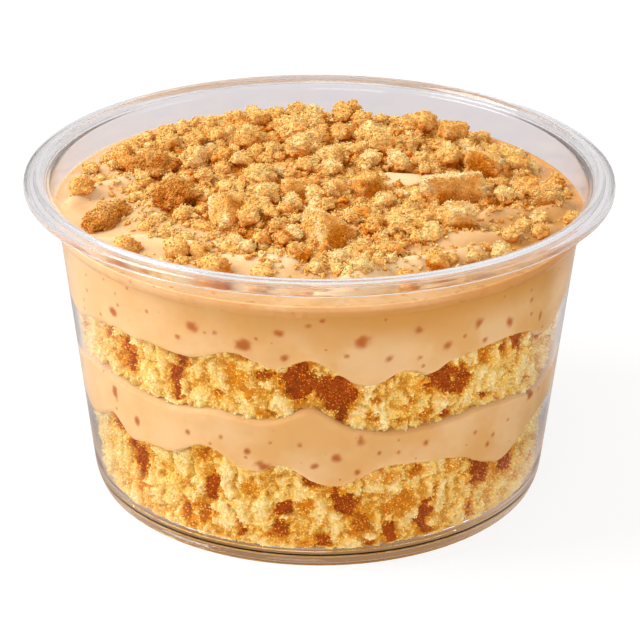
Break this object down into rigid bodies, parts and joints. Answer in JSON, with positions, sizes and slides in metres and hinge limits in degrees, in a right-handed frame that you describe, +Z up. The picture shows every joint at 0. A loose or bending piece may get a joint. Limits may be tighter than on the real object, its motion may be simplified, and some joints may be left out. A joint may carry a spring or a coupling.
{
  "type": "jar cake",
  "caption": "Layered jar cake in a clear round tub: torn sponge and speckled caramel cream in turn, topped with a heap of biscuit crumbs and chunks.",
  "frame": {"origin": "centre of the base, on the plane the tub stands on", "axes": "+Z up along the tub's turning axis, -Y to the front, +X to the right"},
  "size_m": [0.117, 0.117, 0.065],
  "materials": {
    "clear_plastic": "clear, polished",
    "sponge": "open crumb, matt",
    "caramel_cream": "soft, slightly glossy",
    "biscuit_crumb": "rough, dry",
    "biscuit": "rough, dry",
    "browned_cake": "open crumb, matt"
  },
  "bodies": {
    "root": {"tub": "clear_plastic", "sponge_lower": "sponge", "cream_lower": "caramel_cream", "sponge_upper": "sponge", "cream_upper": "caramel_cream", "crumb_heap": "biscuit_crumb", "biscuit_slab": "biscuit", "biscuit_wedge": "biscuit", "biscuit_cube": "biscuit", "biscuit_flake": "biscuit", "biscuit_shard": "biscuit", "biscuit_stub": "biscuit", "biscuit_block_right": "biscuit", "biscuit_block_back": "biscuit", "cake_clump_left": "browned_cake", "cake_clump_front": "browned_cake", "cake_clump_back": "browned_cake", "cake_clump_right": "browned_cake"}
  },
  "joints": []
}
